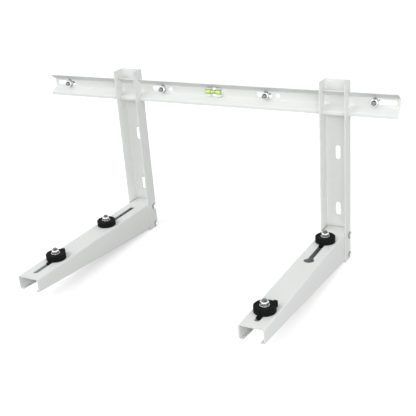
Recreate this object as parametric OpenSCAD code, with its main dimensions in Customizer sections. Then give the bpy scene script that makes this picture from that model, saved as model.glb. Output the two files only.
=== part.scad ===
// Wall bracket for the outdoor unit of an air conditioner.
// A folded crossbar is bolted to the wall, two channel uprights hang on it, and each upright
// carries a tapered arm with two rubber pads. X runs along the crossbar from its middle, Y points
// into the wall with the wall face at Y = 0, and Z = 0 is the foot of the uprights.

/* [Crossbar] */
// Length of the crossbar
rail_len = 780; // [700:10:1000]
// Sheet thickness of the crossbar
rail_sheet = 2; // [1.5:0.1:2.5]
// How far the crossbar stands out from the wall
rail_depth = 19.5; // [17:0.5:24]
// Rise of the upper sloping flange
rail_upper_rise = 12; // [9:0.5:16]
// Height of the flat web between its two folds
rail_web_h = 17.2; // [17:0.1:22]
// Drop of the lower sloping flange
rail_lower_drop = 10; // [8:0.5:14]
// Height of the upright lip at the bottom edge
rail_lip_h = 5.8; // [4:0.2:9]
// Inner radius of the crossbar folds
rail_fold_r = 0.8; // [0.5:0.1:1]

/* [Crossbar holes] */
// Length of the slot at each end of the crossbar
end_slot_len = 48; // [35:1:60]
// Sheet left between an end slot and the end of the crossbar
end_slot_margin = 5.5; // [4:0.5:12]
// Length of the two slots near the middle
mid_slot_len = 32; // [24:1:40]
// Height of all slots in the crossbar
rail_slot_h = 9; // [8.5:0.1:11]
// Middle of the left inner slot
left_mid_slot_x = -116.5; // [-130:0.5:-100]
// Middle of the right inner slot
right_mid_slot_x = 124.6; // [100:0.2:140]
// Distance from each inner slot's middle to the round hole beside it
spare_hole_offset = 28; // [26:0.5:40]
// Diameter of the two round holes
spare_hole_d = 9; // [5:0.5:11]

/* [Uprights] */
// Middle of the left upright
left_upright_x = -181; // [-300:1:-160]
// Middle of the right upright
right_upright_x = 273; // [180:1:285]
// Height of the uprights
upright_h = 357; // [330:1:500]
// Width of the uprights
upright_w = 50.6; // [44:0.2:70]
// Depth of the uprights, from the wall to the front edge of their flanges
upright_depth = 32; // [28:0.5:50]
// Sheet thickness of the uprights
upright_sheet = 2; // [1.5:0.1:3]
// Inner radius of the upright folds
upright_fold_r = 1.4; // [0.8:0.1:3]
// Height of upright standing above the top edge of the crossbar
upright_above_rail = 17.2; // [12:0.2:60]
// Gap all round where the crossbar runs through the notches
notch_gap = 0.4; // [0.3:0.05:1]
// Length of the hook that drops behind the upper flange of the crossbar
hook_len = 6.4; // [4:0.2:8]
// How near to the wall the tongue between the notch's slopes comes
tongue_y = 10; // [9:0.5:14]
// Length of the slots for extra wall bolts
wall_slot_len = 27; // [16:1:40]
// Width of the slots for extra wall bolts
wall_slot_w = 9.6; // [8.5:0.1:12]
// Middle of the upper wall slot below the top of the upright
upper_wall_slot_drop = 141; // [110:1:160]
// Middle of the lower wall slot below the top of the upright
lower_wall_slot_drop = 257; // [200:1:262]
// Size of the clipped corners at the foot of the flanges
foot_chamfer = 3; // [1:0.5:6]

/* [Arms] */
// Reach of the arms from the wall
arm_reach = 402; // [380:1:600]
// Sheet thickness of the arms
arm_sheet = 2; // [1.5:0.1:3]
// Gap between an arm and the upright that holds it
arm_gap = 0.2; // [0.1:0.05:0.5]
// Height of the arms at the wall
arm_root_h = 61.6; // [56:0.2:90]
// Height of the arms at the tip
arm_tip_h = 27; // [22:0.5:45]
// Inner radius of the arm folds
arm_fold_r = 1.4; // [0.8:0.1:2.5]
// Width of the lips turned in along the lower edges
arm_lip_w = 8; // [5:0.5:12]
// Width of the slots in the top of the arms
arm_slot_w = 10; // [8.5:0.5:12]
// Length of the front slots, end to end
front_slot_len = 72; // [70:1:120]
// Distance from the arm's tip to the front slot
front_slot_margin = 18; // [12:1:20]
// Distance from the wall to the rear slot
rear_slot_start = 53; // [44:1:58]
// Length of the rear slots, without the round end
rear_slot_len = 111; // [80:1:120]
// Diameter of the round end of the rear slots
keyhole_d = 20; // [16:0.5:24]

/* [Pads] */
// Diameter of the rubber pads
pad_d = 38; // [32:0.5:44]
// Thickness of the rubber pads above the arm
pad_h = 11.5; // [6:0.5:20]
// Width of the clearance between a pad's key and its slot, each side
key_gap = 0.3; // [0.2:0.05:0.6]
// How far the key of a pad reaches out beside the disc
key_reach = 8; // [4:0.5:9]
// Height of the key above the arm beside the disc
key_rise = 1.2; // [0.5:0.1:3]
// Radius of the grip notches round the rim
pad_notch_r = 2; // [1:0.1:3]
// How far the tab of a front pad reaches from the disc's middle
tab_reach = 26; // [21:0.5:28]
// Width of that tab
tab_w = 9; // [6:0.5:12]
// Turn of the tab on the right front pad, away from the arm's line
right_tab_turn = 27; // [0:1:40]
// Number of grip notches round the rim
pad_notches = 10; // [6:1:16]
// Width of the raised rim round the top of the pad
pad_rim_w = 3; // [2:0.5:5]
// Depth of the shallow dish inside that rim
pad_dish = 0.8; // [0.4:0.1:1.5]
// Distance of the left rear pad from the wall
left_rear_pad_y = 153; // [130:1:153]
// Distance of the left front pad from the arm's tip
left_front_pad_in = 83; // [50:1:84]
// Distance of the right rear pad from the wall
right_rear_pad_y = 75; // [73:1:120]
// Distance of the right front pad from the arm's tip
right_front_pad_in = 52; // [50:1:84]

/* [Fasteners] */
// Thread diameter of the pad bolts, wall anchors and upper arm bolts
bolt_d = 8; // [6:0.5:8]
// Width across flats of their nuts and heads
nut_af = 13; // [10:0.5:13]
// Height of their nuts
nut_h = 6.5; // [5:0.1:8]
// Height of their heads
head_h = 5.3; // [4:0.1:6]
// Outer diameter of the washers on the pads
pad_washer_d = 17; // [15:0.5:24]
// Outer diameter of the washers under the arms
under_washer_d = 24; // [22:0.5:26]
// Outer diameter of the washers on the crossbar
wall_washer_d = 15; // [14:0.1:15]
// Thickness of all washers
washer_t = 1.6; // [1:0.1:2.5]
// Gap between a thread and the hole it passes through
hole_gap = 0.4; // [0.2:0.05:0.8]
// Length of thread that stands out past a nut
thread_out = 5; // [2:0.5:10]
// Length of thread that stands out past a pad's nut
pad_thread_out = 3; // [2:0.5:15]
// Length of the wall anchors behind the wall face
anchor_len = 46; // [36:1:80]
// Length of the cone at the tail of the anchors
cone_len = 7; // [4:0.5:9]
// Length of the necked part between cone and thread, where the clip sits
clip_len = 12; // [6:0.5:16]
// Diameter of the neck under the clip
anchor_neck_d = 5.8; // [4:0.1:5.8]
// Width of the slit in the clip
clip_slit = 1.2; // [0.6:0.1:2]
// Distance of the outer left anchor from the inner end of its slot
left_end_bolt_in = 13; // [7:0.5:30]
// Distance of the outer right anchor from the inner end of its slot
right_end_bolt_in = 7.5; // [5:0.5:30]
// Place of the left middle anchor beside the middle of its slot
left_mid_bolt_off = 10.5; // [-11:0.5:11]
// Place of the right middle anchor beside the middle of its slot
right_mid_bolt_off = 4; // [-11:0.5:11]
// Thread diameter of the lower arm bolts
small_bolt_d = 6; // [5:0.5:6]
// Width across flats of the lower arm bolts
small_af = 10; // [8:0.5:10]
// Height of the lower arm bolts' heads and nuts
small_head_h = 4; // [3:0.1:5]
// Distance of the arm bolts from the wall
arm_bolt_y = 9.5; // [9:0.5:14]
// Height of the upper arm bolt below the top of the arm
upper_bolt_drop = 11.5; // [10:0.5:16]
// Height of the lower arm bolt above the foot of the upright
lower_bolt_z = 8.5; // [8:0.5:12]

/* [Level] */
// Middle of the spirit level along the crossbar
level_x = 15.5; // [0:0.5:40]
// Length of the level's window in the crossbar
window_len = 42; // [36:0.5:50]
// Height of the level's window
window_h = 18; // [15:0.5:19]
// Length of the vial
vial_len = 36; // [30:0.5:40]
// Outer diameter of the vial
vial_d = 9.6; // [8:0.1:11]
// Wall of the vial
vial_wall = 1; // [0.6:0.1:1.5]
// Distance of the vial's axis from the wall
vial_y = 7; // [6.8:0.1:8]
// Distance of the vial below the top of the window
vial_drop = 2.7; // [2:0.1:4]
// Diameter of the arched opening under the vial
arch_d = 13; // [8:0.5:14]
// Length of the air bubble
bubble_len = 7; // [4:0.5:10]
// Gap between the level's holder and the crossbar
holder_gap = 0.2; // [0.1:0.05:0.5]

/* [Hidden] */

$fn = 64;
// How far a cutting shape runs past the face it cuts
over = 1;
powder_white = [0.87, 0.88, 0.87];
zinc = [0.72, 0.73, 0.74];
rubber_black = [0.07, 0.08, 0.08];

rail_top_z = upright_h - upright_above_rail;
rail_back_y = -rail_sheet / 2;
rail_front_y = -rail_depth + rail_sheet / 2;
// Run of both slopes between the back and the front of the sheet's middle line
slope_run = rail_back_y - rail_front_y;
upper_angle = atan2(rail_upper_rise, slope_run);
lower_angle = atan2(rail_lower_drop, slope_run);
rail_tip_z = rail_top_z - rail_sheet / 2 * cos(upper_angle);
web_top_z = rail_tip_z - rail_upper_rise;
web_bottom_z = web_top_z - rail_web_h;
lip_top_z = web_bottom_z - rail_lower_drop;
rail_bottom_z = lip_top_z - rail_lip_h;
web_z = (web_top_z + web_bottom_z) / 2;
// Crossbar section: middle line of the sheet as [y, height over the web's middle], from the upper
// tip down to the lip
rail_path = [[rail_front_y, rail_tip_z - web_z], [rail_back_y, rail_web_h / 2],
    [rail_back_y, -rail_web_h / 2], [rail_front_y, lip_top_z - web_z],
    [rail_front_y, rail_bottom_z - web_z]];

// Height of the crossbar's upper flange at y, moved off its middle line by off towards the front
function upper_flange_z(y, off) =
    web_top_z + (rail_back_y - y) * tan(upper_angle) - off / cos(upper_angle);
// Height of the crossbar's lower flange at y, moved off its middle line by off towards the front
function lower_flange_z(y, off) =
    web_bottom_z - (rail_back_y - y) * tan(lower_angle) + off / cos(lower_angle);

// Places along the crossbar
end_slot_x = rail_len / 2 - end_slot_margin - end_slot_len / 2;
end_slot_inner_x = end_slot_x - end_slot_len / 2;
slots = [[-end_slot_x, end_slot_len], [left_mid_slot_x, mid_slot_len],
    [right_mid_slot_x, mid_slot_len], [end_slot_x, end_slot_len]];
spare_holes = [left_mid_slot_x + spare_hole_offset, right_mid_slot_x + spare_hole_offset];
anchors = [-end_slot_inner_x - left_end_bolt_in, left_mid_slot_x + left_mid_bolt_off,
    right_mid_slot_x + right_mid_bolt_off, end_slot_inner_x + right_end_bolt_in];

// Arms
arm_w = upright_w - 2 * upright_sheet - 2 * arm_gap;
arm_back_y = -upright_sheet - upright_fold_r - arm_gap;
arm_top_z = arm_root_h;
arm_drop = arm_root_h - arm_tip_h;
arm_slope = atan2(arm_drop, arm_reach);
front_slot_y = -arm_reach + front_slot_margin + front_slot_len / 2;
rear_slot_y = -rear_slot_start - rear_slot_len / 2;
keyhole_y = -rear_slot_start - rear_slot_len + keyhole_d / 4;
arm_bolt_z = arm_top_z - upper_bolt_drop;

// Level
vial_z = web_z + (window_h - vial_d) / 2 - vial_drop;
holder_len = window_len - 2 * holder_gap;
holder_h = window_h - 2 * holder_gap;
vial_bore_d = vial_d - 2 * vial_wall;

// Fasteners and pads
// Y of the outer face of the wall nuts
stack_y = -rail_sheet - washer_t - nut_h;
under_stack = arm_sheet + washer_t;
pad_top = pad_h - pad_dish;
pad_stack = pad_top + washer_t + nut_h + pad_thread_out;
left_front_pad_y = arm_reach - left_front_pad_in;
right_front_pad_y = arm_reach - right_front_pad_in;
left_pads = [left_rear_pad_y, left_front_pad_y];
right_pads = [right_rear_pad_y, right_front_pad_y];
to_front = -1;
to_wall = 1;

// Gap between close fitting pieces: nut and thread, clip and neck, vial and holder
fit_gap = 0.1;
// Flats that draw one fold of the crossbar's section
fold_steps = 6;
// Small chamfer on bolts' ends and pads' edges
edge = 0.8;
// Share of a hexagon's width left flat on its bevelled face
flat_share = 0.95;
// Length of lip drawn past each end of an arm before it is cut off
lip_spare = 25;

// Straight run of sheet of thickness t between two points of a section
module sheet_run(a, b, t) {
    d = b - a;
    translate(a) rotate(atan2(d[1], d[0])) translate([0, -t / 2]) square([norm(d), t]);
}

// Round fold of sheet at point p, from direction d1 to direction d2, with inner radius r
module sheet_fold(p, d1, d2, t, r) {
    side = sign(d1[0] * d2[1] - d1[1] * d2[0]);
    turn = acos(d1 * d2);
    trim = (r + t / 2) * tan(turn / 2);
    centre = p - d1 * trim + side * (r + t / 2) * [-d1[1], d1[0]];
    reach = 2 * (r + t);
    a = side * [d1[1], -d1[0]];
    b = side * [d2[1], -d2[0]];
    translate(centre) intersection() {
        difference() {
            circle(r = r + t);
            circle(r = r);
        }
        polygon([[0, 0], a * reach, (a + b) * reach, b * reach]);
    }
}

// Section of sheet folded square: straight runs joined by round folds along a middle line
module folded_sheet(path, t, r) {
    last = len(path) - 1;
    dirs = [for (i = [0 : last - 1]) (path[i + 1] - path[i]) / norm(path[i + 1] - path[i])];
    trims = [for (i = [0 : last]) i == 0 || i == last ? 0
        : (r + t / 2) * tan(acos(dirs[i - 1] * dirs[i]) / 2)];
    for (i = [0 : last - 1])
        sheet_run(path[i] + dirs[i] * trims[i], path[i + 1] - dirs[i] * trims[i + 1], t);
    for (i = [1 : last - 1]) sheet_fold(path[i], dirs[i - 1], dirs[i], t, r);
}

// One face of a sheet that folds at any angle: s is 1 for the face left of the middle line
function sheet_face(path, t, r, s) = let (last = len(path) - 1,
    dirs = [for (i = [0 : last - 1]) (path[i + 1] - path[i]) / norm(path[i + 1] - path[i])],
    first = path[0] + s * t / 2 * [-dirs[0][1], dirs[0][0]],
    end = path[last] + s * t / 2 * [-dirs[last - 1][1], dirs[last - 1][0]])
    concat([first], [for (i = [1 : last - 1]) each fold_arc(path[i], dirs[i - 1], dirs[i], t, r, s)], [end]);

// Points of that face round the fold at p, from direction d1 to direction d2
function fold_arc(p, d1, d2, t, r, s) = let (
    side = sign(d1[0] * d2[1] - d1[1] * d2[0]),
    turn = acos(d1 * d2),
    left = [-d1[1], d1[0]],
    centre = p - d1 * (r + t / 2) * tan(turn / 2) + side * (r + t / 2) * left,
    reach = r + t / 2 - s * side * t / 2,
    from = atan2(-side * left[1], -side * left[0]))
    [for (i = [0 : fold_steps]) centre + reach * [cos(from + side * turn * i / fold_steps),
        sin(from + side * turn * i / fold_steps)]];

// Section of a sheet that folds at any angle, as one outline
module sloping_sheet(path, t, r) {
    back = sheet_face(path, t, r, -1);
    polygon(concat(sheet_face(path, t, r, 1), [for (i = [len(back) - 1 : -1 : 0]) back[i]]));
}

// Turns a section drawn as [y, z] so that it runs along X, centred on X = 0
module along_x(length) {
    translate([-length / 2, 0, 0]) rotate([90, 0, 90]) linear_extrude(length) children();
}

// Turns a section drawn as [x, z] so that it runs from Y = y towards the front
module along_y(y, length) {
    translate([0, y, 0]) rotate([90, 0, 0]) linear_extrude(length) children();
}

// Slot with round ends, length along X, cut through along Z
module slot(length, width, height) {
    straight = length - width;
    translate([-straight / 2, -width / 2, 0]) cube([straight, width, height]);
    for (x = [-straight / 2, straight / 2]) translate([x, 0, 0]) cylinder(d = width, h = height);
}

// Hexagon with its corners bevelled on the top face, standing on Z = 0
module hexagon(af, h) {
    corner = af / sqrt(3);
    flat_r = af / 2 * flat_share;
    intersection() {
        cylinder(r = corner, h = h, $fn = 6);
        rotate_extrude() polygon([[0, 0], [corner + over, 0],
            [corner + over, h - (corner + over - flat_r) * tan(30)], [flat_r, h], [0, h]]);
    }
}

// Hexagon nut standing on Z = 0, with its bore
module hexagon_nut(af, h, bore) {
    difference() {
        hexagon(af, h);
        translate([0, 0, -over]) cylinder(d = bore, h = h + 2 * over);
    }
}

// Flat washer standing on Z = 0
module flat_washer(outer, bore) {
    difference() {
        cylinder(d = outer, h = washer_t);
        translate([0, 0, -over]) cylinder(d = bore, h = washer_t + 2 * over);
    }
}

// Bolt with its head on top of Z = 0 and its shank running down, bevelled at the end
module hexagon_bolt(d, af, head, length) {
    hexagon(af, head);
    rotate_extrude() polygon([[0, over], [d / 2, over], [d / 2, edge - length],
        [d / 2 - edge, -length], [0, -length]]);
}

// Places a piece whose Z axis becomes the way out from the wall
module out_of_wall(x, y, z) {
    translate([x, y, z]) rotate([90, 0, 0]) children();
}

module crossbar() {
    color(powder_white) difference() {
        translate([0, 0, web_z]) along_x(rail_len) sloping_sheet(rail_path, rail_sheet, rail_fold_r);
        for (s = slots) out_of_wall(s[0], over, web_z) slot(s[1], rail_slot_h, rail_depth);
        for (x = spare_holes) out_of_wall(x, over, web_z) cylinder(d = spare_hole_d, h = rail_depth);
        out_of_wall(level_x, over, web_z) slot(window_len, window_h, rail_depth + 2 * over);
    }
}

// Moulded saddle that fills the window and cradles the vial
module level_holder() {
    cheek_x = vial_len / 2 + fit_gap;
    color("white") difference() {
        out_of_wall(level_x, -holder_gap, web_z) slot(holder_len, holder_h, vial_y);
        translate([level_x - cheek_x, -vial_y, vial_z]) rotate([0, 90, 0])
            cylinder(d = vial_d + 2 * fit_gap, h = 2 * cheek_x);
        // Arched opening under the vial
        out_of_wall(level_x, over, web_z - holder_h / 2) cylinder(d = arch_d, h = vial_y + 3 * over);
        // Thumb opening over the vial
        out_of_wall(level_x, over, vial_z + vial_d / 2) cylinder(d = vial_d, h = vial_y + 3 * over);
    }
}

module level_vial() {
    color("yellowgreen", 0.6) translate([level_x, -vial_y, vial_z]) rotate([0, 90, 0]) difference() {
        cylinder(d = vial_d, h = vial_len, center = true);
        cylinder(d = vial_bore_d, h = vial_len - 2 * vial_wall, center = true);
    }
}

module level_liquid() {
    liquid_d = vial_bore_d - 2 * fit_gap;
    bubble_r = liquid_d / 4;
    color("greenyellow") translate([level_x, -vial_y, vial_z]) difference() {
        rotate([0, 90, 0])
            cylinder(d = liquid_d, h = vial_len - 2 * vial_wall - 2 * fit_gap, center = true);
        translate([0, 0, liquid_d / 2]) rotate([0, 90, 0]) {
            cylinder(r = bubble_r, h = bubble_len - 2 * bubble_r, center = true);
            for (s = [-1, 1]) translate([0, 0, s * (bubble_len / 2 - bubble_r)]) sphere(r = bubble_r);
        }
    }
}

// Wall anchors: a threaded bolt with a necked tail that ends in a cone
module anchor_bolt() {
    front = -stack_y + thread_out;
    tail = -anchor_len;
    neck_r = anchor_neck_d / 2;
    neck = tail + cone_len;
    rotate_extrude() polygon([[0, front], [bolt_d / 2 - edge, front], [bolt_d / 2, front - edge],
        [bolt_d / 2, neck + clip_len + edge], [neck_r, neck + clip_len], [neck_r, neck],
        [bolt_d / 2, tail + edge], [bolt_d / 2 - edge, tail], [0, tail]]);
}

// Split clip that spreads over the cone
module anchor_clip() {
    translate([0, 0, -anchor_len + cone_len + fit_gap]) difference() {
        cylinder(d = bolt_d, h = clip_len - 2 * fit_gap);
        translate([0, 0, -over]) cylinder(d = anchor_neck_d + 2 * fit_gap, h = clip_len + 2 * over);
        translate([0, -clip_slit / 2, -over]) cube([bolt_d, clip_slit, clip_len + 2 * over]);
    }
}

module wall_anchor_bolts() {
    color(zinc) for (x = anchors) out_of_wall(x, 0, web_z) anchor_bolt();
}

module wall_anchor_clips() {
    color(zinc) for (x = anchors) out_of_wall(x, 0, web_z) anchor_clip();
}

module wall_washers() {
    color(zinc) for (x = anchors) out_of_wall(x, -rail_sheet, web_z)
        flat_washer(wall_washer_d, bolt_d + hole_gap);
}

module wall_nuts() {
    color(zinc) for (x = anchors) out_of_wall(x, -rail_sheet - washer_t, web_z)
        rotate(30) hexagon_nut(nut_af, nut_h, bolt_d + 2 * fit_gap);
}

// Outline [y, z] that the crossbar needs through an upright: it follows the crossbar's front with a
// tongue between the slopes, and leaves a hook behind the upper flange
module notch_outline() {
    off = rail_sheet / 2 + notch_gap;
    front = -rail_depth - notch_gap;
    top = rail_top_z + notch_gap;
    hook_z = top - hook_len;
    back_slope_y = rail_back_y - (hook_z - web_top_z - off / cos(upper_angle)) / tan(upper_angle);
    tip_back_y = rail_back_y - (top - web_top_z - off / cos(upper_angle)) / tan(upper_angle);
    polygon([[over, hook_z], [back_slope_y, hook_z], [tip_back_y, top], [front, top],
        [front, upper_flange_z(front, off)], [-tongue_y, upper_flange_z(-tongue_y, off)],
        [-tongue_y, lower_flange_z(-tongue_y, off)], [front, lower_flange_z(front, off)],
        [front, rail_bottom_z - notch_gap], [over, rail_bottom_z - notch_gap]]);
}

// Channel upright with its back on the wall, centred on X = 0
module upright() {
    half = upright_w / 2 - upright_sheet / 2;
    back = -upright_sheet / 2;
    color(powder_white) difference() {
        linear_extrude(upright_h) folded_sheet([[-half, -upright_depth], [-half, back], [half, back],
            [half, -upright_depth]], upright_sheet, upright_fold_r);
        along_x(upright_w + 2 * over) notch_outline();
        for (drop = [upper_wall_slot_drop, lower_wall_slot_drop])
            out_of_wall(0, over, upright_h - drop) rotate(90)
                slot(wall_slot_len, wall_slot_w, upright_sheet + 2 * over);
        for (y = [-upright_depth, 0]) translate([0, y, 0]) rotate([45, 0, 0])
            cube([upright_w + 2 * over, foot_chamfer * sqrt(2), foot_chamfer * sqrt(2)], center = true);
        cross_bores();
    }
}

// Bores for the two bolts that hold an arm in its upright
module cross_bores() {
    length = upright_w + 4 * over;
    translate([-length / 2, -arm_bolt_y, arm_bolt_z]) rotate([0, 90, 0])
        cylinder(d = bolt_d + hole_gap, h = length);
    translate([-length / 2, -arm_bolt_y, lower_bolt_z]) rotate([0, 90, 0])
        cylinder(d = small_bolt_d + hole_gap, h = length);
}

// Tapered channel arm, open below, with lips along its sloping lower edges, centred on X = 0
module arm() {
    half = arm_w / 2 - arm_sheet / 2;
    top = arm_top_z - arm_sheet / 2;
    length = arm_reach + arm_back_y;
    edge_h = arm_sheet + arm_fold_r;
    low = arm_sheet / 2;
    color(powder_white) difference() {
        union() {
            // Top and side walls, cut off along the slope
            intersection() {
                along_y(arm_back_y, length) folded_sheet([[-half, 0], [-half, top], [half, top],
                    [half, 0]], arm_sheet, arm_fold_r);
                along_x(arm_w + 2 * over) polygon([[over, edge_h], [-arm_reach - over, arm_drop + edge_h],
                    [-arm_reach - over, arm_top_z + over], [over, arm_top_z + over]]);
            }
            // Lower folds and lips, running up the slope
            intersection() {
                rotate([-arm_slope, 0, 0]) along_y(lip_spare, arm_reach + 2 * lip_spare) {
                    for (s = [-1, 1]) folded_sheet([[s * half, edge_h + over], [s * half, low],
                        [s * (arm_w / 2 - arm_lip_w), low]], arm_sheet, arm_fold_r);
                }
                translate([-arm_w, -arm_reach, -over]) cube([2 * arm_w, length, arm_root_h]);
            }
        }
        translate([0, front_slot_y, 0]) rotate(90) slot_in_top(front_slot_len);
        translate([0, rear_slot_y, 0]) rotate(90) slot_in_top(rear_slot_len);
        translate([0, keyhole_y, arm_top_z - arm_sheet - over])
            cylinder(d = keyhole_d, h = arm_sheet + 2 * over);
        cross_bores();
    }
}

// Slot through the top of an arm
module slot_in_top(length) {
    translate([0, 0, arm_top_z - arm_sheet - over]) slot(length, arm_slot_w, arm_sheet + 2 * over);
}

// Rubber pad on an arm, with a key that drops into the slot and reaches out on one side
module pad(key_side, tab_turn = undef) {
    key_w = arm_slot_w - 2 * key_gap;
    key_len = pad_d / 2 + key_reach;
    ring = pad_d / 2 - pad_rim_w;
    color(rubber_black) difference() {
        union() {
            rotate_extrude() polygon([[0, 0], [pad_d / 2 - edge, 0], [pad_d / 2, edge],
                [pad_d / 2, pad_h - edge], [pad_d / 2 - edge, pad_h], [ring, pad_h],
                [ring - pad_dish, pad_h - pad_dish], [0, pad_h - pad_dish]]);
            translate([0, key_side * (key_len - key_w / 2) / 2, -arm_sheet]) rotate(90)
                slot(key_len + key_w / 2, key_w, arm_sheet + key_rise);
            // Flat tab for fingers, opposite the key
            if (tab_turn != undef) rotate(-tab_turn) translate([0, (tab_reach - tab_w / 2) / 2, edge])
                rotate(90) slot(tab_reach + tab_w / 2, tab_w, pad_h - pad_dish - 2 * edge);
        }
        for (i = [0 : pad_notches - 1]) rotate((i + 0.5) * 360 / pad_notches)
            translate([pad_d / 2 + pad_notch_r / 2, 0, over + key_rise])
                cylinder(r = pad_notch_r, h = pad_h);
        translate([0, 0, -arm_sheet - over])
            cylinder(d = bolt_d + hole_gap, h = pad_h + arm_sheet + 2 * over);
    }
}

// Places a piece on the top of an arm at a distance from the wall
module on_arm(x, y) {
    translate([x, -y, arm_top_z]) children();
}

module pad_bolt() {
    translate([0, 0, -under_stack]) mirror([0, 0, 1])
        hexagon_bolt(bolt_d, nut_af, head_h, under_stack + pad_stack);
}

module pad_bolts(x, places) {
    color(zinc) for (y = places) on_arm(x, y) pad_bolt();
}

module pad_under_washers(x, places) {
    color(zinc) for (y = places) on_arm(x, y) translate([0, 0, -under_stack])
        flat_washer(under_washer_d, bolt_d + hole_gap);
}

module pad_washers(x, places) {
    color(zinc) for (y = places) on_arm(x, y) translate([0, 0, pad_top])
        flat_washer(pad_washer_d, bolt_d + hole_gap);
}

module pad_nuts(x, places) {
    color(zinc) for (y = places) on_arm(x, y) translate([0, 0, pad_top + washer_t])
        hexagon_nut(nut_af, nut_h, bolt_d + 2 * fit_gap);
}

// Bolt across an upright and its arm, head on the right side
module cross_bolt(x, z, d, af, head) {
    color(zinc) translate([x + upright_w / 2, -arm_bolt_y, z]) rotate([0, 90, 0])
        hexagon_bolt(d, af, head, upright_w + head + 2 * edge);
}

// Nut on the left side of a bolt across an upright
module cross_nut(x, z, d, af, h) {
    color(zinc) translate([x - upright_w / 2, -arm_bolt_y, z]) rotate([0, -90, 0])
        hexagon_nut(af, h, d + 2 * fit_gap);
}

module left_upright() { translate([left_upright_x, 0, 0]) upright(); }
module right_upright() { translate([right_upright_x, 0, 0]) upright(); }
module left_arm() { translate([left_upright_x, 0, 0]) arm(); }
module right_arm() { translate([right_upright_x, 0, 0]) arm(); }

module left_upper_arm_bolt() { cross_bolt(left_upright_x, arm_bolt_z, bolt_d, nut_af, head_h); }
module left_upper_arm_nut() { cross_nut(left_upright_x, arm_bolt_z, bolt_d, nut_af, head_h); }
module left_lower_arm_bolt() {
    cross_bolt(left_upright_x, lower_bolt_z, small_bolt_d, small_af, small_head_h);
}
module left_lower_arm_nut() {
    cross_nut(left_upright_x, lower_bolt_z, small_bolt_d, small_af, small_head_h);
}
module right_upper_arm_bolt() { cross_bolt(right_upright_x, arm_bolt_z, bolt_d, nut_af, head_h); }
module right_upper_arm_nut() { cross_nut(right_upright_x, arm_bolt_z, bolt_d, nut_af, head_h); }
module right_lower_arm_bolt() {
    cross_bolt(right_upright_x, lower_bolt_z, small_bolt_d, small_af, small_head_h);
}
module right_lower_arm_nut() {
    cross_nut(right_upright_x, lower_bolt_z, small_bolt_d, small_af, small_head_h);
}

module left_rear_pad() { on_arm(left_upright_x, left_rear_pad_y) pad(to_wall); }
module left_front_pad() { on_arm(left_upright_x, left_front_pad_y) pad(to_front, 0); }
module right_rear_pad() { on_arm(right_upright_x, right_rear_pad_y) pad(to_front); }
module right_front_pad() {
    on_arm(right_upright_x, right_front_pad_y) pad(to_front, right_tab_turn);
}

crossbar();
level_holder();
level_vial();
level_liquid();
wall_anchor_bolts();
wall_anchor_clips();
wall_washers();
wall_nuts();
left_upright();
left_arm();
left_upper_arm_bolt();
left_upper_arm_nut();
left_lower_arm_bolt();
left_lower_arm_nut();
left_rear_pad();
left_front_pad();
pad_bolts(left_upright_x, left_pads);  // left_pad_bolts
pad_under_washers(left_upright_x, left_pads);  // left_pad_under_washers
pad_washers(left_upright_x, left_pads);  // left_pad_washers
pad_nuts(left_upright_x, left_pads);  // left_pad_nuts
right_upright();
right_arm();
right_upper_arm_bolt();
right_upper_arm_nut();
right_lower_arm_bolt();
right_lower_arm_nut();
right_rear_pad();
right_front_pad();
pad_bolts(right_upright_x, right_pads);  // right_pad_bolts
pad_under_washers(right_upright_x, right_pads);  // right_pad_under_washers
pad_washers(right_upright_x, right_pads);  // right_pad_washers
pad_nuts(right_upright_x, right_pads);  // right_pad_nuts
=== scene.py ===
import math

import bmesh
import bpy
from mathutils import Matrix, Vector


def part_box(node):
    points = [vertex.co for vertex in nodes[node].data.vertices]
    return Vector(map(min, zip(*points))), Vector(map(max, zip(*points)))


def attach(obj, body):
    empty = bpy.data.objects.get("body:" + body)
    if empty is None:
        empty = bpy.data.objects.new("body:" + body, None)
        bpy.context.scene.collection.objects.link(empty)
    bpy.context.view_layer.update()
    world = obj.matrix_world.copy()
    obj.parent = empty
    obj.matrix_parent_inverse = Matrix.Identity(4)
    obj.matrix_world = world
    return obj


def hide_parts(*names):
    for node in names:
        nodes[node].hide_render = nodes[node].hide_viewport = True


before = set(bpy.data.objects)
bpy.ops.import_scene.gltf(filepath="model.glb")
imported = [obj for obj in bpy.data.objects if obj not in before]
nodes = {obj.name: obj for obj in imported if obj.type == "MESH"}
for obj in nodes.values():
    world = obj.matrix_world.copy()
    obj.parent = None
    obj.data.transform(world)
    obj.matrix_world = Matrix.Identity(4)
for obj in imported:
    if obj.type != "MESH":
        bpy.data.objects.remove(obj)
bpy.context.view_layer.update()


# Camera
# It stands to the right of the bracket and looks down at the arms, rolled a little, as the
# photograph was taken.
azimuth, roll = math.radians(30.304), math.radians(-4.508)
back = Vector((0.46524627, -0.79604598, 0.38711331)).normalized()
level_right = Vector((math.cos(azimuth), math.sin(azimuth), 0))
level_up = back.cross(level_right)
right = level_right * math.cos(roll) + level_up * math.sin(roll)
up = level_up * math.cos(roll) - level_right * math.sin(roll)
camera = bpy.data.objects.new("camera", bpy.data.cameras.new("camera"))
bpy.context.scene.collection.objects.link(camera)
camera.matrix_world = Matrix.Translation((0.74002, -1.30439, 0.69368)) @ Matrix(
    (right, up, back)
).transposed().to_4x4()
camera.data.sensor_width = 36
camera.data.lens = 65.631
bpy.context.scene.camera = camera
bpy.context.scene.view_settings.view_transform = "Standard"
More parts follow.
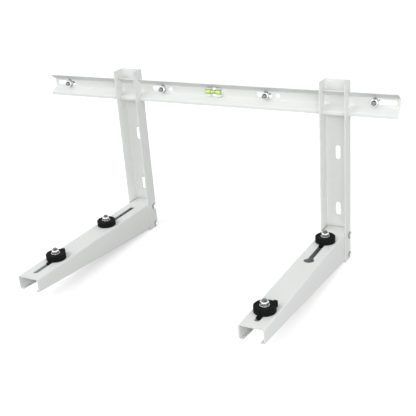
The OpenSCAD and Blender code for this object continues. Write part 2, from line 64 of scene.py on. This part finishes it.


# Floor, daylight and lamps
# The bracket stands on a plain floor in soft light from the left, the front and the right. Floor
# and room show white to the camera, metal and glass, and the floor keeps the arms' soft shadow;
# its glow is painted dimmer near the bracket, which deepens that shadow.
class Wire:
    """A socket that can be added, multiplied and so on: each sum makes its own Math node."""

    def __init__(self, socket):
        self.socket, self.tree = socket, socket.id_data

    def add(self, kind, settings=None, inputs=None, out=0):
        node = self.tree.nodes.new(kind)
        for key, value in (settings or {}).items():
            setattr(node, key, value)
        for key, value in (inputs or {}).items():
            if isinstance(value, Wire):
                self.tree.links.new(value.socket, node.inputs[key])
            else:
                node.inputs[key].default_value = value
        return Wire(node.outputs[out])

    def sum(self, operation, *values):
        return self.add("ShaderNodeMath", {"operation": operation}, dict(enumerate(values)))

    def __add__(self, other):
        return self.sum("ADD", self, other)

    def __radd__(self, other):
        return self.sum("ADD", other, self)

    def __mul__(self, other):
        return self.sum("MULTIPLY", self, other)

    def __rmul__(self, other):
        return self.sum("MULTIPLY", other, self)


def blank_material(name):
    """A material with an empty node tree, and a wire of its Object coordinates to start from."""
    material = bpy.data.materials.new(name)
    material.use_nodes = True
    material.node_tree.nodes.clear()
    coordinates = material.node_tree.nodes.new("ShaderNodeTexCoord")
    return material, Wire(coordinates.outputs["Object"])


def white_rays(start):
    """Is 1 for the rays that see the white background: from the camera, metal and glass."""
    rays = start.add("ShaderNodeLightPath", out="Is Camera Ray")
    for ray in ("Is Glossy Ray", "Is Transmission Ray"):
        rays = rays + start.add("ShaderNodeLightPath", out=ray)
    return rays


def finish_material(start, shader):
    output = start.tree.nodes.new("ShaderNodeOutputMaterial")
    start.tree.links.new(shader.socket, output.inputs["Surface"])


floor_paint, start = blank_material("floor_paint")
matt = start.add("ShaderNodeBsdfDiffuse", inputs={"Color": (0.3, 0.3, 0.3, 1)})
paper = start.add("ShaderNodeBsdfDiffuse", inputs={"Color": (1, 1, 1, 1)})
# Painted shade: the floor's glow is dimmer near the bracket than far from it.
away = start.add(
    "ShaderNodeVectorMath", {"operation": "DISTANCE"}, {0: start, 1: (0.05, -0.2, 0)}, out="Value"
)
away = start.add(
    "ShaderNodeMapRange",
    inputs={"Value": away, "From Min": 0.4, "From Max": 1.3, "To Min": 0.36, "To Max": 0.56},
)
glow = start.add("ShaderNodeEmission", inputs={"Color": away, "Strength": 1})
bright_paper = start.add("ShaderNodeAddShader", inputs={0: paper, 1: glow})
finish_material(
    start,
    start.add("ShaderNodeMixShader", inputs={0: white_rays(start), 1: matt, 2: bright_paper}),
)

bpy.ops.object.select_all(action="DESELECT")
bpy.ops.mesh.primitive_plane_add(size=24, location=(0, 0, 0))
floor = bpy.context.object
floor.name = "floor"
bpy.ops.object.transform_apply()
floor.data.materials.append(floor_paint)

world = bpy.data.worlds.new("studio")
bpy.context.scene.world = world
world.use_nodes = True
world.node_tree.nodes.clear()
start = Wire(world.node_tree.nodes.new("ShaderNodeTexCoord").outputs["Generated"])
white_room = start.add("ShaderNodeBackground", inputs={"Color": (1, 1, 1, 1), "Strength": 1.0})
daylight = start.add("ShaderNodeBackground", inputs={"Color": (1, 1, 1, 1), "Strength": 0.54})
mixed = start.add("ShaderNodeMixShader", inputs={0: white_rays(start), 1: daylight, 2: white_room})
output = world.node_tree.nodes.new("ShaderNodeOutputWorld")
world.node_tree.links.new(mixed.socket, output.inputs["Surface"])


def lamp(name, place, aim, size, power):
    light = bpy.data.lights.new(name, "AREA")
    light.shape, light.size, light.energy = "DISK", size, power
    holder = bpy.data.objects.new(name, light)
    bpy.context.scene.collection.objects.link(holder)
    holder.location = place
    holder.rotation_euler = (Vector(aim) - Vector(place)).to_track_quat("-Z", "Y").to_euler()


middle = (0.05, -0.15, 0.15)
lamp("key_lamp", (-1.6, -1.9, 2.2), middle, 2.2, 36)
lamp("fill_lamp", (1.4, -2.4, 1.0), middle, 2.0, 30)
lamp("side_lamp", (2.6, -1.0, 0.7), middle, 2.0, 17)


# Crossbar, uprights and arms
# They are cut and folded from 2 mm steel sheet, then powder coated in a very light grey. The coat
# has a faint orange peel, and a thin line of painted shade darkens it in inner corners and where
# sheets meet.
powder, start = blank_material("powder_coat")
peel = start.add("ShaderNodeTexNoise", inputs={"Vector": start, "Scale": 900, "Detail": 2})
cloud = start.add("ShaderNodeTexNoise", inputs={"Vector": start, "Scale": 9, "Detail": 4})
fleck = start.add("ShaderNodeTexNoise", inputs={"Vector": start, "Scale": 2600, "Detail": 1})
# Painted shade: within 3 mm of an inner corner or a meeting sheet, the coat's colour darkens
# towards dark grey.
corner_shade = start.add("ShaderNodeAmbientOcclusion", {"samples": 12}, {"Distance": 0.003}, out="AO")
coat = start.add(
    "ShaderNodeMix",
    {"data_type": "RGBA"},
    {0: cloud, 6: (0.79, 0.805, 0.79, 1), 7: (0.83, 0.845, 0.835, 1)},
    out=2,
)
tint = start.add(
    "ShaderNodeMix",
    {"data_type": "RGBA"},
    {0: start.sum("MINIMUM", corner_shade * 1.6, 1.0), 6: (0.3, 0.31, 0.3, 1), 7: coat},
    out=2,
)
relief = start.add(
    "ShaderNodeBump",
    inputs={"Strength": 0.25, "Distance": 0.00006, "Height": peel + fleck * 0.3},
)
finish_material(
    start,
    start.add(
        "ShaderNodeBsdfPrincipled",
        inputs={
            "Base Color": tint,
            "Roughness": 0.36 + cloud * 0.12,
            "Specular IOR Level": 0.25,
            "Normal": relief,
        },
    ),
)


def dress(material, *names):
    """Gives CAD nodes a material in place of the one they came with."""
    for name in names:
        mesh = nodes[name].data
        mesh.materials.clear()
        mesh.materials.append(material)


dress(powder, "crossbar", "left_upright", "right_upright", "left_arm", "right_arm")


# Spirit level
# A clear acrylic vial with yellow-green liquid and one bubble lies in a white moulded holder,
# which snaps into the crossbar's window.
moulded, start = blank_material("moulded_white")
grain = start.add("ShaderNodeTexNoise", inputs={"Vector": start, "Scale": 1500, "Detail": 2})
shade = start.add("ShaderNodeTexNoise", inputs={"Vector": start, "Scale": 120, "Detail": 3})
tint = start.add(
    "ShaderNodeMix",
    {"data_type": "RGBA"},
    {0: shade, 6: (0.84, 0.87, 0.92, 1), 7: (0.9, 0.92, 0.95, 1)},
    out=2,
)
relief = start.add(
    "ShaderNodeBump", inputs={"Strength": 0.2, "Distance": 0.00005, "Height": grain}
)
finish_material(
    start,
    start.add(
        "ShaderNodeBsdfPrincipled",
        inputs={"Base Color": tint, "Roughness": 0.42 + shade * 0.1, "Normal": relief},
    ),
)
dress(moulded, "level_holder")

acrylic, start = blank_material("clear_acrylic")
ripple = start.add("ShaderNodeTexNoise", inputs={"Vector": start, "Scale": 260, "Detail": 2})
finish_material(
    start,
    start.add(
        "ShaderNodeBsdfPrincipled",
        inputs={
            "Base Color": (0.93, 1.0, 0.55, 1),
            "Roughness": 0.02 + ripple * 0.04,
            "IOR": 1.49,
            "Transmission Weight": 0.9,
            "Alpha": 0.55,
        },
    ),
)
dress(acrylic, "level_vial")

liquid, start = blank_material("level_liquid")
swirl = start.add("ShaderNodeTexNoise", inputs={"Vector": start, "Scale": 90, "Detail": 2})
tint = start.add(
    "ShaderNodeMix",
    {"data_type": "RGBA"},
    {0: swirl, 6: (0.58, 0.76, 0.24, 1), 7: (0.68, 0.84, 0.34, 1)},
    out=2,
)
finish_material(
    start,
    start.add(
        "ShaderNodeBsdfPrincipled",
        inputs={"Base Color": tint, "Roughness": 0.12 + swirl * 0.06, "IOR": 1.38},
    ),
)
dress(liquid, "level_liquid")


# Marking rings on the vial
# Two thin black rings are printed round the vial, a bubble's length apart, to read the level by.
ink, start = blank_material("black_ink")
wear = start.add("ShaderNodeTexNoise", inputs={"Vector": start, "Scale": 900, "Detail": 3})
finish_material(
    start,
    start.add(
        "ShaderNodeBsdfPrincipled",
        inputs={
            "Base Color": start.add(
                "ShaderNodeMix",
                {"data_type": "RGBA"},
                {0: wear, 6: (0.01, 0.012, 0.012, 1), 7: (0.03, 0.034, 0.03, 1)},
                out=2,
            ),
            "Roughness": 0.35 + wear * 0.2,
        },
    ),
)


def fresh(add, name, **where):
    """Adds a primitive with nothing else selected."""
    bpy.ops.object.select_all(action="DESELECT")
    add(**where)
    piece = bpy.context.object
    piece.name = piece.data.name = name
    return piece


def pick(piece, kind, test):
    """Opens a piece in edit mode, with only what passes the test selected, by its middle."""
    bpy.ops.object.select_all(action="DESELECT")
    bpy.context.view_layer.objects.active = piece
    piece.select_set(True)
    bpy.ops.object.mode_set(mode="EDIT")
    bpy.ops.mesh.select_mode(type=kind)
    bpy.ops.mesh.select_all(action="DESELECT")
    mesh = bmesh.from_edit_mesh(piece.data)
    for item in {"VERT": mesh.verts, "EDGE": mesh.edges, "FACE": mesh.faces}[kind]:
        points = [item.co] if kind == "VERT" else [v.co for v in item.verts]
        if test(sum(points, Vector()) / len(points)):
            item.select_set(True)
    mesh.select_flush_mode()
    bmesh.update_edit_mesh(piece.data)


def close_edit():
    bpy.ops.object.mode_set(mode="OBJECT")


def modify(piece, kind, **settings):
    """Adds a modifier to a piece and applies it."""
    bpy.ops.object.select_all(action="DESELECT")
    bpy.context.view_layer.objects.active = piece
    piece.select_set(True)
    modifier = piece.modifiers.new(kind.lower(), kind)
    for key, value in settings.items():
        setattr(modifier, key, value)
    bpy.ops.object.modifier_apply(modifier=modifier.name)


def combine(piece, tool, operation):
    """Cuts, joins or crosses a piece with a tool, which is then thrown away."""
    modify(piece, "BOOLEAN", object=tool, operation=operation, solver="EXACT")
    bpy.data.objects.remove(tool)


def soften(piece, width, steps=2):
    modify(piece, "BEVEL", width=width, segments=steps, limit_method="ANGLE", angle_limit=0.6)
    bpy.ops.object.select_all(action="DESELECT")
    piece.select_set(True)
    bpy.context.view_layer.objects.active = piece
    bpy.ops.object.shade_smooth_by_angle(angle=0.7)


def set_down(pattern, name, places, material, body, *stands_for):
    """Makes one piece of copies of a pattern at places. The pattern itself stays as it is."""
    copies = []
    for place in places:
        one = pattern.copy()
        one.data = pattern.data.copy()
        bpy.context.scene.collection.objects.link(one)
        one.matrix_world = place
        copies.append(one)
    bpy.ops.object.select_all(action="DESELECT")
    for one in copies:
        one.select_set(True)
    bpy.context.view_layer.objects.active = copies[0]
    bpy.ops.object.transform_apply()
    if len(copies) > 1:
        bpy.ops.object.join()
    piece = bpy.context.object
    piece.name = piece.data.name = name
    piece.data.materials.clear()
    piece.data.materials.append(material)
    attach(piece, body)
    if stands_for:
        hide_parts(*stands_for)
    return piece


def at(x, y, z, turn=(0, 0, 0)):
    """A place in millimetres in the bracket's frame, turned about X, Y, Z in degrees."""
    spin = Matrix.Identity(4)
    for axis, degrees in zip("XYZ", turn):
        spin = Matrix.Rotation(math.radians(degrees), 4, axis) @ spin
    return Matrix.Translation(Vector((x, y, z)) / 1000) @ spin


mm = 0.001
vial_low, vial_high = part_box("level_vial")
vial_middle = (vial_low + vial_high) / 2 / mm
ring = fresh(
    bpy.ops.mesh.primitive_cylinder_add, "ring", vertices=48, radius=4.86 * mm, depth=0.7 * mm
)
bore = fresh(
    bpy.ops.mesh.primitive_cylinder_add, "bore", vertices=48, radius=4.7 * mm, depth=2 * mm
)
combine(ring, bore, "DIFFERENCE")
soften(ring, 0.05 * mm)
set_down(
    ring,
    "vial_marks",
    [at(vial_middle.x + side * 5, vial_middle.y, vial_middle.z, (0, 90, 0)) for side in (-1, 1)],
    ink,
    "rail",
)
bpy.data.objects.remove(ring)


# Wall bolts
# Four zinc-plated M8 anchor bolts come through the crossbar's slots; their zinc is painted much
# darker than the nuts', as a painted dark reflection.
# Their thread runs down to a neck with a split clip; a washer and a nut clamp the crossbar.
def zinc_plate(name, darker_tone, lighter_tone):
    """Zinc plating between two brightnesses, darkened in crevices by dirt and by painted shade."""
    material, start = blank_material(name)
    streak = start.add("ShaderNodeTexNoise", inputs={"Vector": start, "Scale": 700, "Detail": 4})
    bloom = start.add("ShaderNodeTexNoise", inputs={"Vector": start, "Scale": 160, "Detail": 3})
    crevice_dirt_and_shade = start.add(
        "ShaderNodeAmbientOcclusion", {"samples": 12}, {"Distance": 0.004}, out="AO"
    )
    plated = start.add(
        "ShaderNodeMix",
        {"data_type": "RGBA"},
        {0: bloom, 6: (darker_tone, darker_tone, darker_tone * 1.03, 1), 7: (lighter_tone, lighter_tone, lighter_tone, 1)},
        out=2,
    )
    # Dirt and painted shade: the plating's colour darkens to near black within 4 mm of other
    # surfaces.
    tint = start.add(
        "ShaderNodeMix",
        {"data_type": "RGBA"},
        {0: start.sum("POWER", crevice_dirt_and_shade, 2.2), 6: (0.06, 0.06, 0.062, 1), 7: plated},
        out=2,
    )
    relief = start.add(
        "ShaderNodeBump", inputs={"Strength": 0.25, "Distance": 0.00003, "Height": streak}
    )
    finish_material(
        start,
        start.add(
            "ShaderNodeBsdfPrincipled",
            inputs={
                "Base Color": tint,
                "Metallic": 0.9 + bloom * 0.1,
                "Roughness": 0.16 + streak * 0.2,
                "Normal": relief,
            },
        ),
    )
    return material


zinc = zinc_plate("bright_zinc", 0.84, 0.93)
# Painted dark reflection: a copy of the bright zinc painted far darker, used for the bolts, which
# stands in for dark reflections on bright metal.
dark_reflection_zinc = zinc_plate("dark_reflection_zinc", 0.16, 0.3)


def threaded_rod(name, radius, pitch, low, high):
    """A rod with a real screw thread from z = low to z = high, in millimetres."""
    turns = math.ceil((high - low) / pitch) + 2
    rod = fresh(bpy.ops.mesh.primitive_circle_add, name, vertices=3, radius=1)
    pick(rod, "EDGE", lambda p: False)
    mesh = bmesh.from_edit_mesh(rod.data)
    mesh.edges.ensure_lookup_table()
    mesh.edges[0].select_set(True)
    bmesh.update_edit_mesh(rod.data)
    bpy.ops.mesh.delete(type="EDGE_FACE")
    mesh = bmesh.from_edit_mesh(rod.data)
    middle = next(v for v in mesh.verts if len(v.link_edges) == 2)
    ends = [v for v in mesh.verts if v is not middle]
    base = (low - pitch) * mm
    middle.co = ((radius - 0.05) * mm, 0, base + pitch / 2 * mm)
    ends[0].co = ((radius - 0.65) * mm, 0, base)
    ends[1].co = ((radius - 0.65) * mm, 0, base + pitch * mm)
    bmesh.update_edit_mesh(rod.data)
    close_edit()
    modify(
        rod,
        "SCREW",
        axis="Z",
        steps=24,
        render_steps=24,
        screw_offset=pitch * mm,
        iterations=turns,
        use_merge_vertices=True,
        merge_threshold=0.00001,
        use_smooth_shade=False,
    )
    for height, up_side in ((low, -1), (high, 1)):
        pick(rod, "VERT", lambda p: True)
        bpy.ops.mesh.bisect(
            plane_co=(0, 0, height * mm),
            plane_no=(0, 0, up_side),
            use_fill=True,
            clear_outer=True,
        )
        close_edit()
    for height in (low, high):
        pick(rod, "VERT", lambda p: abs(p.z - height * mm) < 0.00001)
        bpy.ops.mesh.normals_make_consistent(inside=False)
        bpy.ops.transform.resize(value=(0.9, 0.9, 1), center_override=(0, 0, height * mm))
        close_edit()
    pick(rod, "FACE", lambda p: True)
    bpy.ops.mesh.normals_make_consistent(inside=False)
    close_edit()
    return rod


def turned(name, rings, steps=48):
    """A turned piece: rings are radius and height, from the bottom up, in millimetres."""
    radius, height = rings[0]
    piece = fresh(
        bpy.ops.mesh.primitive_circle_add,
        name,
        vertices=steps,
        radius=radius * mm,
        fill_type="NGON",
        location=(0, 0, height * mm),
    )
    bpy.ops.object.transform_apply()
    pick(piece, "FACE", lambda p: True)
    for wide, high in rings[1:]:
        bpy.ops.mesh.extrude_region_move(
            TRANSFORM_OT_translate={"value": (0, 0, (high - height) * mm)}
        )
        bpy.ops.transform.resize(
            value=(wide / radius, wide / radius, 1), center_override=(0, 0, high * mm)
        )
        radius, height = wide, high
    bpy.ops.mesh.select_all(action="SELECT")
    bpy.ops.mesh.normals_make_consistent(inside=False)
    close_edit()
    return piece


def joined(*pieces):
    bpy.ops.object.select_all(action="DESELECT")
    for piece in pieces:
        piece.select_set(True)
    bpy.context.view_layer.objects.active = pieces[0]
    bpy.ops.object.join()
    return bpy.context.object


wall_low, wall_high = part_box("wall_nuts")
bolt_z = (wall_low.z + wall_high.z) / 2 / mm
anchor_xs = (-349.5, -106, 128.6, 344)
m8_radius, m8_pitch, m8_across = 4, 1.25, 13
anchor = joined(
    threaded_rod("anchor", m8_radius, m8_pitch, -26.2, 15.1),
    turned("neck", [(3.2, -46), (3.95, -45.2), (3.95, -44.6), (2.9, -39), (2.9, -26)]),
)
bpy.ops.object.shade_smooth_by_angle(angle=0.5)
set_down(
    anchor,
    "wall_anchor_threads",
    [at(x, 0, bolt_z, (90, 0, 0)) for x in anchor_xs],
    # Painted dark reflection: the anchor bolts take the zinc painted dark.
    dark_reflection_zinc,
    "rail",
    "wall_anchor_bolts",
)
bpy.data.objects.remove(anchor)
dress(zinc, "wall_anchor_clips")


# Nuts
# Each is a hexagon nut of bright zinc, chamfered on both faces, with a countersunk bore.
def hexagon_piece(name, across, height, bore, lower_chamfer):
    """A nut, or with no bore a bolt head, standing on z = 0, in millimetres."""
    corner = across / math.sqrt(3)
    piece = fresh(
        bpy.ops.mesh.primitive_cylinder_add,
        name,
        vertices=6,
        radius=corner * mm,
        depth=height * mm,
        location=(0, 0, height / 2 * mm),
        rotation=(0, 0, math.radians(30)),
    )
    bpy.ops.object.transform_apply()
    face, side = across / 2 * 0.94, corner + 0.05
    rim = (corner - face) * 0.6
    blank = [(face, 0), (side, rim)] if lower_chamfer else [(side, 0)]
    blank += [(side, height - rim), (face, height)]
    combine(piece, turned("blank", blank, 72), "INTERSECT")
    if bore:
        sink, past = 0.55, 0.2
        flare = bore / 2 + sink + past
        hole = [(flare, -past), (bore / 2, sink), (bore / 2, height - sink), (flare, height + past)]
        combine(piece, turned("bore", hole, 40), "DIFFERENCE")
    soften(piece, 0.12 * mm)
    return piece


sheet, washer_thick = 2, 1.6
nut = hexagon_piece("nut", m8_across, 6.5, 7.9, True)
set_down(
    nut,
    "wall_nuts_chamfered",
    [at(x, -sheet - washer_thick, bolt_z, (90, 0, 0)) for x in anchor_xs],
    zinc,
    "rail",
    "wall_nuts",
)
left_x, right_x = -181, 273
pad_places = {"left": (left_x, (153, 319)), "right": (right_x, (75, 350))}
arm_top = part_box("left_arm")[1].z / mm
pad_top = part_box("left_pad_nuts")[0].z / mm - washer_thick
for side, (x, places) in pad_places.items():
    set_down(
        nut,
        side + "_pad_nuts_chamfered",
        [
            at(x, -y, pad_top + washer_thick, (0, 0, 17 * i))
            for i, y in enumerate(places)
        ],
        zinc,
        side + "_bracket",
        side + "_pad_nuts",
    )
bpy.data.objects.remove(nut)


# Washers
# Plain washers stamped from zinc-plated strip: small ones under the wall nuts and on the pads,
# wide ones that spread the load under the arms' tops. Stamping rounds their edges.
def washer(outer, bore):
    ring = fresh(
        bpy.ops.mesh.primitive_cylinder_add,
        "washer",
        vertices=64,
        radius=outer / 2 * mm,
        depth=washer_thick * mm,
        location=(0, 0, washer_thick / 2 * mm),
    )
    bpy.ops.object.transform_apply()
    hole = fresh(
        bpy.ops.mesh.primitive_cylinder_add, "hole", vertices=40, radius=bore / 2 * mm, depth=8 * mm
    )
    combine(ring, hole, "DIFFERENCE")
    soften(ring, 0.3 * mm, 3)
    return ring


clear_bore = 8.4
ring = washer(15, clear_bore)
set_down(
    ring,
    "wall_washers_stamped",
    [at(x, -sheet, bolt_z, (90, 0, 0)) for x in anchor_xs],
    zinc,
    "rail",
    "wall_washers",
)
bpy.data.objects.remove(ring)
small, wide = washer(17, clear_bore), washer(24, clear_bore)
for side, (x, places) in pad_places.items():
    body = side + "_bracket"
    set_down(
        small, side + "_pad_washers_stamped", [at(x, -y, pad_top) for y in places],
        zinc, body, side + "_pad_washers",
    )
    set_down(
        wide, side + "_under_washers_stamped",
        [at(x, -y, arm_top - sheet - washer_thick) for y in places],
        zinc, body, side + "_pad_under_washers",
    )
bpy.data.objects.remove(small)
bpy.data.objects.remove(wide)


# Pad bolts
# A hexagon bolt stands in each pad with its head under the arm and its thread upwards, so that
# the foot of the outdoor unit drops over it.
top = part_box("left_pad_bolts")[1].z / mm
m8_head = 5.3
head_foot = arm_top - sheet - washer_thick - m8_head
head = hexagon_piece("head", m8_across, m8_head, 0, True)
pad_bolt = joined(head, threaded_rod("shank", m8_radius, m8_pitch, 5, top - head_foot))
bpy.ops.object.shade_smooth_by_angle(angle=0.5)
for side, (x, places) in pad_places.items():
    set_down(
        pad_bolt,
        side + "_pad_bolts_threaded",
        [at(x, -y, head_foot) for y in places],
        # Painted dark reflection: the pad bolts take the zinc painted dark.
        dark_reflection_zinc,
        side + "_bracket",
        side + "_pad_bolts",
    )
bpy.data.objects.remove(pad_bolt)


# Arm bolts
# Two bolts run across each upright and hold the arm in it: an M8 above and an M6 below, with the
# heads on the right and the nuts on the left.
upright_width, bolt_y, tail = 50.6, -9.5, 1.6
for part, across, radius, pitch, tall, height in (
    ("upper", m8_across, m8_radius, m8_pitch, m8_head, 50.1),
    ("lower", 10, 3, 1.0, 4.0, 8.5),
):
    grip = upright_width + tall + tail
    head = hexagon_piece("head", across, tall, 0, False)
    shank = turned("shank", [(radius - 0.05, -grip + 20), (radius - 0.05, 0.5)])
    thread = threaded_rod("thread", radius, pitch, -grip, -grip + 20.2)
    bolt = joined(head, shank, thread)
    bpy.ops.object.shade_smooth_by_angle(angle=0.5)
    nut = hexagon_piece("nut", across, tall, 2 * radius - 0.1, True)
    for side, (x, _) in pad_places.items():
        node = side + "_" + part + "_arm_"
        set_down(
            bolt, node + "bolt_threaded",
            [at(x + upright_width / 2, bolt_y, height, (0, 90, 0))],
            zinc, side + "_bracket", node + "bolt",
        )
        set_down(
            nut, node + "nut_chamfered",
            [at(x - upright_width / 2, bolt_y, height, (0, -90, 0))],
            zinc, side + "_bracket", node + "nut",
        )
    bpy.data.objects.remove(bolt)
    bpy.data.objects.remove(nut)


# Rubber pads
# Round anti-vibration pads of moulded black rubber, with grip notches round the rim, a shallow
# dish for the washer and a key below that drops into the arm's slot.
rubber, start = blank_material("moulded_rubber")
grain = start.add("ShaderNodeTexNoise", inputs={"Vector": start, "Scale": 1400, "Detail": 3})
dust = start.add("ShaderNodeTexNoise", inputs={"Vector": start, "Scale": 90, "Detail": 4})
tint = start.add(
    "ShaderNodeMix",
    {"data_type": "RGBA"},
    {0: dust, 6: (0.003, 0.003, 0.003, 1), 7: (0.010, 0.011, 0.011, 1)},
    out=2,
)
relief = start.add(
    "ShaderNodeBump", inputs={"Strength": 0.35, "Distance": 0.00008, "Height": grain}
)
finish_material(
    start,
    start.add(
        "ShaderNodeBsdfPrincipled",
        inputs={
            "Base Color": tint,
            "Roughness": 0.5 + dust * 0.2,
            "Specular IOR Level": 0.06,
            "Normal": relief,
        },
    ),
)


def bar(name, width, reach, low, high):
    """A bar with round ends from the middle of the pad out to its reach along +Y."""
    piece = fresh(
        bpy.ops.mesh.primitive_cylinder_add,
        name,
        vertices=32,
        radius=width / 2 * mm,
        depth=(high - low) * mm,
        location=(0, 0, (high + low) / 2 * mm),
    )
    bpy.ops.object.transform_apply()
    pick(piece, "VERT", lambda p: p.y > 0.00001)
    bpy.ops.transform.translate(value=(0, (reach - width / 2) * mm, 0))
    close_edit()
    return piece


def rubber_pad(tab_turn=None):
    pad = turned(
        "pad",
        [(18.4, 0), (19, 0.6), (19, 10.7), (18.2, 11.5), (16, 11.5), (15.2, 10.7), (0.2, 10.7)],
        120,
    )
    combine(pad, bar("key", 9.4, 27, -2, 1.2), "UNION")
    if tab_turn is not None:
        tab = bar("tab", 9, 26, 0.8, 9.9)
        pick(tab, "VERT", lambda p: True)
        bpy.ops.transform.rotate(value=math.radians(180 + tab_turn), center_override=(0, 0, 0))
        close_edit()
        combine(pad, tab, "UNION")
    for i in range(10):
        angle = math.radians(36 * (i + 0.5))
        grip = fresh(
            bpy.ops.mesh.primitive_cylinder_add,
            "grip",
            vertices=24,
            radius=2 * mm,
            depth=12 * mm,
            location=(20 * math.cos(angle) * mm, 20 * math.sin(angle) * mm, 8.2 * mm),
        )
        combine(pad, grip, "DIFFERENCE")
    hole = fresh(
        bpy.ops.mesh.primitive_cylinder_add, "hole", vertices=32, radius=4.2 * mm, depth=60 * mm
    )
    combine(pad, hole, "DIFFERENCE")
    soften(pad, 0.35 * mm)
    return pad


for node, x, y, turn, tab_turn in (
    ("left_rear_pad", left_x, 153, 0, None),
    ("left_front_pad", left_x, 319, 180, 0),
    ("right_rear_pad", right_x, 75, 180, None),
    ("right_front_pad", right_x, 350, 180, 27),
):
    pad = rubber_pad(tab_turn)
    set_down(
        pad, node + "_moulded", [at(x, -y, arm_top, (0, 0, turn))],
        rubber, node.split("_")[0] + "_bracket", node,
    )
    bpy.data.objects.remove(pad)
